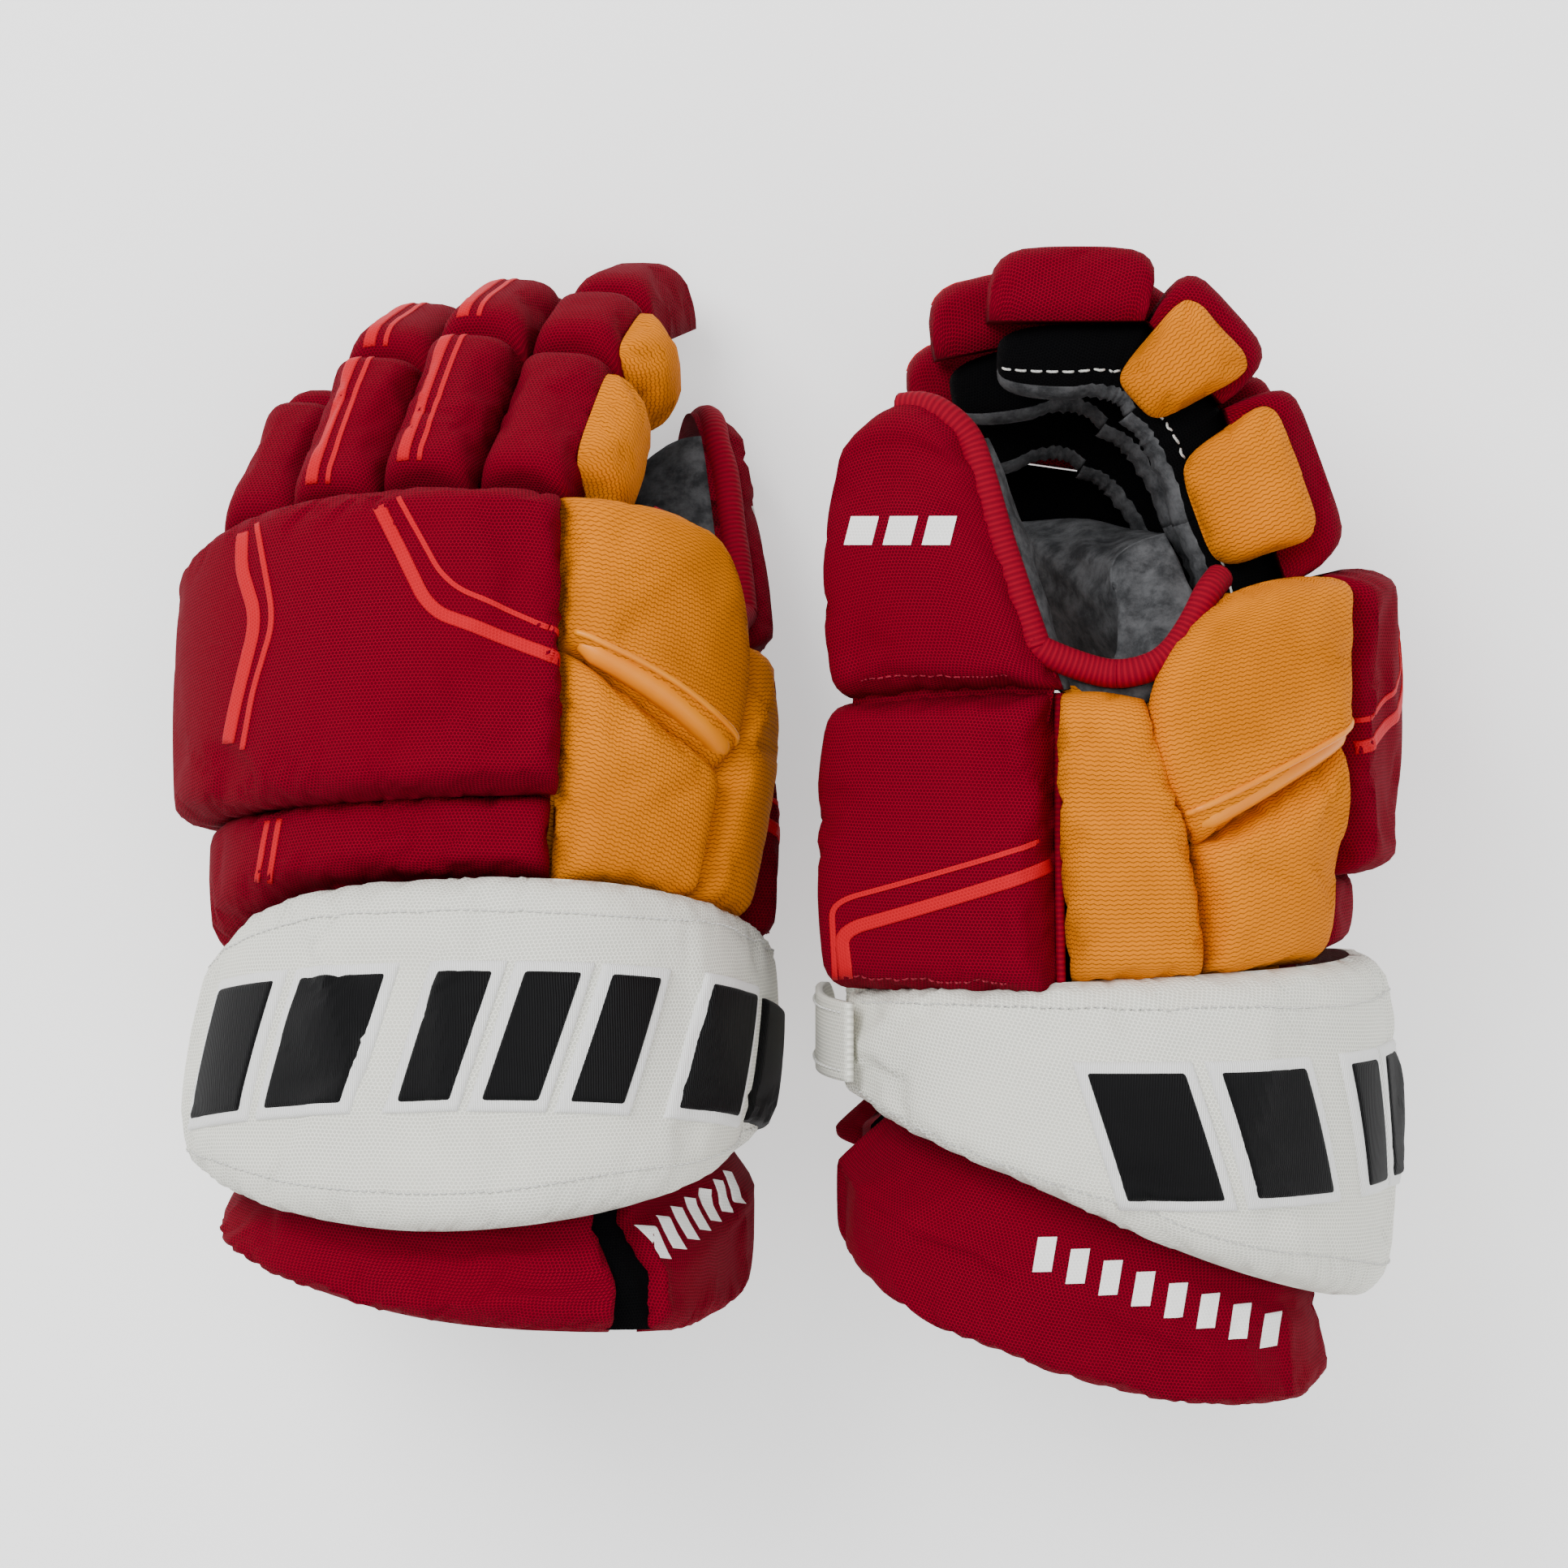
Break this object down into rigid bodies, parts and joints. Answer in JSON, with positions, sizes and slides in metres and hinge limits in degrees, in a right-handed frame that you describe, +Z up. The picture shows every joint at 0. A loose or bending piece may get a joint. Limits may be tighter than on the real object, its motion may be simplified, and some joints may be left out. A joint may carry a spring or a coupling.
{
  "type": "pair of hockey gloves",
  "caption": "Pair of padded ice hockey gloves with block-padded fingers, backhand and thumb, a flared cuff with a padded roll, and a soft palm; one lies palm down, one on its side.",
  "frame": {"origin": "centre of the bounding box's base, on the table under the pair", "axes": "+Z up; +Y towards the fingertips; +X from the left glove to the right glove"},
  "size_m": [0.3312, 0.3098, 0.1687],
  "materials": {
    "left_backhand_pad": "crimson woven nylon",
    "left_backhand_insert": "white moulded plastic",
    "left_wrist_pad": "crimson woven nylon",
    "left_side_pad_upper": "golden yellow ribbed knit",
    "left_side_pad_lower": "golden yellow ribbed knit",
    "left_side_pad_rear": "golden yellow ribbed knit",
    "left_hand_lining": "black knit",
    "left_palm": "grey brushed suede",
    "left_thumb_base_pad": "crimson woven nylon",
    "left_thumb_pad": "crimson woven nylon",
    "left_thumb_lining": "grey brushed suede",
    "left_thumb_insert": "white moulded plastic",
    "left_cuff_roll": "white hexagon-mesh nylon",
    "left_cuff_back_panel": "crimson woven nylon",
    "left_cuff_side_panel": "crimson woven nylon",
    "left_cuff_lining": "black knit",
    "left_cuff_strap": "white hexagon-mesh nylon",
    "left_index_side_lower": "golden yellow ribbed knit",
    "left_index_side_upper": "golden yellow ribbed knit",
    "left_index_proximal": "crimson woven nylon",
    "left_index_middle": "crimson woven nylon",
    "left_index_tip": "crimson woven nylon",
    "left_middle_proximal": "crimson woven nylon",
    "left_middle_middle": "crimson woven nylon",
    "left_middle_tip": "crimson woven nylon",
    "left_ring_proximal": "crimson woven nylon",
    "left_ring_middle": "crimson woven nylon",
    "left_ring_tip": "crimson woven nylon",
    "left_little_proximal": "crimson woven nylon",
    "left_little_tip": "crimson woven nylon",
    "right_backhand_pad": "crimson woven nylon",
    "right_backhand_insert": "white moulded plastic",
    "right_wrist_pad": "crimson woven nylon",
    "right_side_pad_upper": "golden yellow ribbed knit",
    "right_side_pad_lower": "golden yellow ribbed knit",
    "right_side_pad_rear": "golden yellow ribbed knit",
    "right_hand_lining": "black knit",
    "right_palm": "grey brushed suede",
    "right_thumb_base_pad": "crimson woven nylon",
    "right_thumb_pad": "crimson woven nylon",
    "right_thumb_lining": "grey brushed suede",
    "right_thumb_insert": "white moulded plastic",
    "right_cuff_roll": "white hexagon-mesh nylon",
    "right_cuff_back_panel": "crimson woven nylon",
    "right_cuff_side_panel": "crimson woven nylon",
    "right_cuff_lining": "black knit",
    "right_cuff_strap": "white hexagon-mesh nylon",
    "right_index_side_lower": "golden yellow ribbed knit",
    "right_index_side_upper": "golden yellow ribbed knit",
    "right_index_proximal": "crimson woven nylon",
    "right_index_middle": "crimson woven nylon",
    "right_index_tip": "crimson woven nylon",
    "right_middle_proximal": "crimson woven nylon",
    "right_middle_middle": "crimson woven nylon",
    "right_middle_tip": "crimson woven nylon",
    "right_ring_proximal": "crimson woven nylon",
    "right_ring_middle": "crimson woven nylon",
    "right_ring_tip": "crimson woven nylon",
    "right_little_proximal": "crimson woven nylon",
    "right_little_tip": "crimson woven nylon"
  },
  "bodies": {
    "left_hand": {"left_backhand_pad": "left_backhand_pad", "left_backhand_insert": "left_backhand_insert", "left_wrist_pad": "left_wrist_pad", "left_side_pad_upper": "left_side_pad_upper", "left_side_pad_lower": "left_side_pad_lower", "left_side_pad_rear": "left_side_pad_rear", "left_hand_lining": "left_hand_lining", "left_palm": "left_palm"},
    "left_thumb_base": {"left_thumb_base_pad": "left_thumb_base_pad"},
    "left_thumb": {"left_thumb_pad": "left_thumb_pad", "left_thumb_lining": "left_thumb_lining", "left_thumb_insert": "left_thumb_insert"},
    "left_cuff": {"left_cuff_roll": "left_cuff_roll", "left_cuff_back_panel": "left_cuff_back_panel", "left_cuff_side_panel": "left_cuff_side_panel", "left_cuff_lining": "left_cuff_lining"},
    "left_strap": {"left_cuff_strap": "left_cuff_strap"},
    "left_index_proximal": {"left_index_proximal": "left_index_proximal", "left_index_side_lower": "left_index_side_lower"},
    "left_index_middle": {"left_index_middle": "left_index_middle", "left_index_side_upper": "left_index_side_upper"},
    "left_index_tip": {"left_index_tip": "left_index_tip"},
    "left_middle_proximal": {"left_middle_proximal": "left_middle_proximal"},
    "left_middle_middle": {"left_middle_middle": "left_middle_middle"},
    "left_middle_tip": {"left_middle_tip": "left_middle_tip"},
    "left_ring_proximal": {"left_ring_proximal": "left_ring_proximal"},
    "left_ring_middle": {"left_ring_middle": "left_ring_middle"},
    "left_ring_tip": {"left_ring_tip": "left_ring_tip"},
    "left_little_proximal": {"left_little_proximal": "left_little_proximal"},
    "left_little_tip": {"left_little_tip": "left_little_tip"},
    "right_hand": {"right_backhand_pad": "right_backhand_pad", "right_backhand_insert": "right_backhand_insert", "right_wrist_pad": "right_wrist_pad", "right_side_pad_upper": "right_side_pad_upper", "right_side_pad_lower": "right_side_pad_lower", "right_side_pad_rear": "right_side_pad_rear", "right_hand_lining": "right_hand_lining", "right_palm": "right_palm"},
    "right_thumb_base": {"right_thumb_base_pad": "right_thumb_base_pad"},
    "right_thumb": {"right_thumb_pad": "right_thumb_pad", "right_thumb_lining": "right_thumb_lining", "right_thumb_insert": "right_thumb_insert"},
    "right_cuff": {"right_cuff_roll": "right_cuff_roll", "right_cuff_back_panel": "right_cuff_back_panel", "right_cuff_side_panel": "right_cuff_side_panel", "right_cuff_lining": "right_cuff_lining"},
    "right_strap": {"right_cuff_strap": "right_cuff_strap"},
    "right_index_proximal": {"right_index_proximal": "right_index_proximal", "right_index_side_lower": "right_index_side_lower"},
    "right_index_middle": {"right_index_middle": "right_index_middle", "right_index_side_upper": "right_index_side_upper"},
    "right_index_tip": {"right_index_tip": "right_index_tip"},
    "right_middle_proximal": {"right_middle_proximal": "right_middle_proximal"},
    "right_middle_middle": {"right_middle_middle": "right_middle_middle"},
    "right_middle_tip": {"right_middle_tip": "right_middle_tip"},
    "right_ring_proximal": {"right_ring_proximal": "right_ring_proximal"},
    "right_ring_middle": {"right_ring_middle": "right_ring_middle"},
    "right_ring_tip": {"right_ring_tip": "right_ring_tip"},
    "right_little_proximal": {"right_little_proximal": "right_little_proximal"},
    "right_little_tip": {"right_little_tip": "right_little_tip"}
  },
  "joints": [
    {"name": "left_wrist", "type": "hinge", "parent": "left_hand", "child": "left_cuff", "pos_m": [-0.084, -0.02779, 0.08272], "axis": [0.9659, 0.0427, 0.2553], "range_deg": [-2, 2], "stiffness_Nm_per_rad": 3},
    {"name": "left_strap_peel", "type": "hinge", "parent": "left_cuff", "child": "left_strap", "pos_m": [-0.09163, -0.0587, 0.00709], "axis": [0, 0.9863, -0.165], "range_deg": [0, 40]},
    {"name": "left_thumb_swing", "type": "hinge", "parent": "left_hand", "child": "left_thumb_base", "pos_m": [-0.01173, 0.00784, 0.0775], "axis": [0, 0.9863, -0.165], "range_deg": [-6, 6], "stiffness_Nm_per_rad": 1.5},
    {"name": "left_thumb_bend", "type": "hinge", "parent": "left_thumb_base", "child": "left_thumb", "pos_m": [-0.02225, 0.04052, 0.03348], "axis": [0.2367, 0.1604, 0.9583], "range_deg": [-8, 0.5], "stiffness_Nm_per_rad": 1.2},
    {"name": "left_index_knuckle", "type": "hinge", "parent": "left_hand", "child": "left_index_proximal", "pos_m": [-0.06795, 0.08078, 0.11352], "axis": [-0.9623, 0.0434, -0.2687], "range_deg": [-12, 1], "stiffness_Nm_per_rad": 0.8},
    {"name": "left_index_mid_joint", "type": "hinge", "parent": "left_index_proximal", "child": "left_index_middle", "pos_m": [-0.05672, 0.1167, 0.0791], "axis": [-0.9623, 0.0434, -0.2687], "range_deg": [-10, 1], "stiffness_Nm_per_rad": 0.6},
    {"name": "left_index_end_joint", "type": "hinge", "parent": "left_index_middle", "child": "left_index_tip", "pos_m": [-0.0491, 0.1316, 0.0542], "axis": [-0.9623, 0.0434, -0.2687], "range_deg": [-6, 0.6], "stiffness_Nm_per_rad": 0.3},
    {"name": "left_middle_knuckle", "type": "hinge", "parent": "left_hand", "child": "left_middle_proximal", "pos_m": [-0.09404, 0.08137, 0.10791], "axis": [-0.9623, 0.0434, -0.2687], "range_deg": [-8, 12], "stiffness_Nm_per_rad": 0.8},
    {"name": "left_middle_mid_joint", "type": "hinge", "parent": "left_middle_proximal", "child": "left_middle_middle", "pos_m": [-0.08261, 0.12134, 0.07346], "axis": [-0.9623, 0.0434, -0.2687], "range_deg": [-6, 8], "stiffness_Nm_per_rad": 0.6},
    {"name": "left_middle_end_joint", "type": "hinge", "parent": "left_middle_middle", "child": "left_middle_tip", "pos_m": [-0.07353, 0.13286, 0.04278], "axis": [-0.9623, 0.0434, -0.2687], "range_deg": [-3.6, 4.8], "stiffness_Nm_per_rad": 0.3},
    {"name": "left_ring_knuckle", "type": "hinge", "parent": "left_hand", "child": "left_ring_proximal", "pos_m": [-0.11895, 0.0763, 0.09884], "axis": [-0.9623, 0.0434, -0.2687], "range_deg": [-8, 20], "stiffness_Nm_per_rad": 0.8},
    {"name": "left_ring_mid_joint", "type": "hinge", "parent": "left_ring_proximal", "child": "left_ring_middle", "pos_m": [-0.10827, 0.11599, 0.06699], "axis": [-0.9623, 0.0434, -0.2687], "range_deg": [-6, 20], "stiffness_Nm_per_rad": 0.6},
    {"name": "left_ring_end_joint", "type": "hinge", "parent": "left_ring_middle", "child": "left_ring_tip", "pos_m": [-0.09969, 0.1263, 0.03794], "axis": [-0.9623, 0.0434, -0.2687], "range_deg": [-3.6, 12], "stiffness_Nm_per_rad": 0.3},
    {"name": "left_little_knuckle", "type": "hinge", "parent": "left_hand", "child": "left_little_proximal", "pos_m": [-0.14041, 0.07043, 0.08192], "axis": [-0.9623, 0.0434, -0.2687], "range_deg": [-8, 16], "stiffness_Nm_per_rad": 0.8},
    {"name": "left_little_mid_joint", "type": "hinge", "parent": "left_little_proximal", "child": "left_little_tip", "pos_m": [-0.13072, 0.10141, 0.05222], "axis": [-0.9623, 0.0434, -0.2687], "range_deg": [-6, 22], "stiffness_Nm_per_rad": 0.6},
    {"name": "right_wrist", "type": "hinge", "parent": "right_hand", "child": "right_cuff", "pos_m": [0.09, -0.03769, 0.07694], "axis": [0, 0.0471, -0.9989], "range_deg": [-2, 2], "stiffness_Nm_per_rad": 3},
    {"name": "right_strap_peel", "type": "hinge", "parent": "right_cuff", "child": "right_strap", "pos_m": [0.015, -0.05435, 0.04813], "axis": [0, -0.9989, -0.0471], "range_deg": [0, 8]},
    {"name": "right_thumb_swing", "type": "hinge", "parent": "right_hand", "child": "right_thumb_base", "pos_m": [0.072, -0.00503, 0.14856], "axis": [0, -0.9989, -0.0471], "range_deg": [-6, 6], "stiffness_Nm_per_rad": 1.5},
    {"name": "right_thumb_bend", "type": "hinge", "parent": "right_thumb_base", "child": "right_thumb", "pos_m": [0.038, 0.03537, 0.13044], "axis": [-0.8772, 0.0226, -0.4796], "range_deg": [-6, 7], "stiffness_Nm_per_rad": 1.2},
    {"name": "right_index_knuckle", "type": "hinge", "parent": "right_hand", "child": "right_index_proximal", "pos_m": [0.1325, 0.06288, 0.10972], "axis": [0, -0.0471, 0.9989], "range_deg": [-10, 6], "stiffness_Nm_per_rad": 0.8},
    {"name": "right_index_mid_joint", "type": "hinge", "parent": "right_index_proximal", "child": "right_index_middle", "pos_m": [0.11506, 0.11075, 0.11197], "axis": [0, -0.0471, 0.9989], "range_deg": [-10, 7], "stiffness_Nm_per_rad": 0.6},
    {"name": "right_index_end_joint", "type": "hinge", "parent": "right_index_middle", "child": "right_index_tip", "pos_m": [0.09498, 0.13302, 0.11303], "axis": [0, -0.0471, 0.9989], "range_deg": [-6, 4.2], "stiffness_Nm_per_rad": 0.3},
    {"name": "right_middle_knuckle", "type": "hinge", "parent": "right_hand", "child": "right_middle_proximal", "pos_m": [0.134, 0.06563, 0.08322], "axis": [0, -0.0471, 0.9989], "range_deg": [-6, 26], "stiffness_Nm_per_rad": 0.8},
    {"name": "right_middle_mid_joint", "type": "hinge", "parent": "right_middle_proximal", "child": "right_middle_middle", "pos_m": [0.11033, 0.11411, 0.0855], "axis": [0, -0.0471, 0.9989], "range_deg": [-8, 24], "stiffness_Nm_per_rad": 0.6},
    {"name": "right_middle_end_joint", "type": "hinge", "parent": "right_middle_middle", "child": "right_middle_tip", "pos_m": [0.08214, 0.1331, 0.0864], "axis": [0, -0.0471, 0.9989], "range_deg": [-4.8, 14.4], "stiffness_Nm_per_rad": 0.3},
    {"name": "right_ring_knuckle", "type": "hinge", "parent": "right_hand", "child": "right_ring_proximal", "pos_m": [0.131, 0.06338, 0.05648], "axis": [0, -0.0471, 0.9989], "range_deg": [-6, 28], "stiffness_Nm_per_rad": 0.8},
    {"name": "right_ring_mid_joint", "type": "hinge", "parent": "right_ring_proximal", "child": "right_ring_middle", "pos_m": [0.10422, 0.10791, 0.05858], "axis": [0, -0.0471, 0.9989], "range_deg": [-8, 26], "stiffness_Nm_per_rad": 0.6},
    {"name": "right_ring_end_joint", "type": "hinge", "parent": "right_ring_middle", "child": "right_ring_tip", "pos_m": [0.07571, 0.12242, 0.05927], "axis": [0, -0.0471, 0.9989], "range_deg": [-4.8, 15.6], "stiffness_Nm_per_rad": 0.3},
    {"name": "right_little_knuckle", "type": "hinge", "parent": "right_hand", "child": "right_little_proximal", "pos_m": [0.1195, 0.06158, 0.03107], "axis": [0, -0.0471, 0.9989], "range_deg": [-6, 20], "stiffness_Nm_per_rad": 0.8},
    {"name": "right_little_mid_joint", "type": "hinge", "parent": "right_little_proximal", "child": "right_little_tip", "pos_m": [0.09364, 0.09714, 0.03275], "axis": [0, -0.0471, 0.9989], "range_deg": [-8, 24], "stiffness_Nm_per_rad": 0.6},
    {"name": "right_glove_apart", "type": "slide", "parent": "left_hand", "child": "right_hand", "axis": [1, 0, 0], "range_m": [0, 0.25]}
  ],
  "couplings": [
    {"joint": "left_index_end_joint", "follows": "left_index_mid_joint", "ratio": 0.6},
    {"joint": "left_middle_end_joint", "follows": "left_middle_mid_joint", "ratio": 0.6},
    {"joint": "left_ring_end_joint", "follows": "left_ring_mid_joint", "ratio": 0.6},
    {"joint": "right_index_end_joint", "follows": "right_index_mid_joint", "ratio": 0.6},
    {"joint": "right_middle_end_joint", "follows": "right_middle_mid_joint", "ratio": 0.6},
    {"joint": "right_ring_end_joint", "follows": "right_ring_mid_joint", "ratio": 0.6}
  ]
}
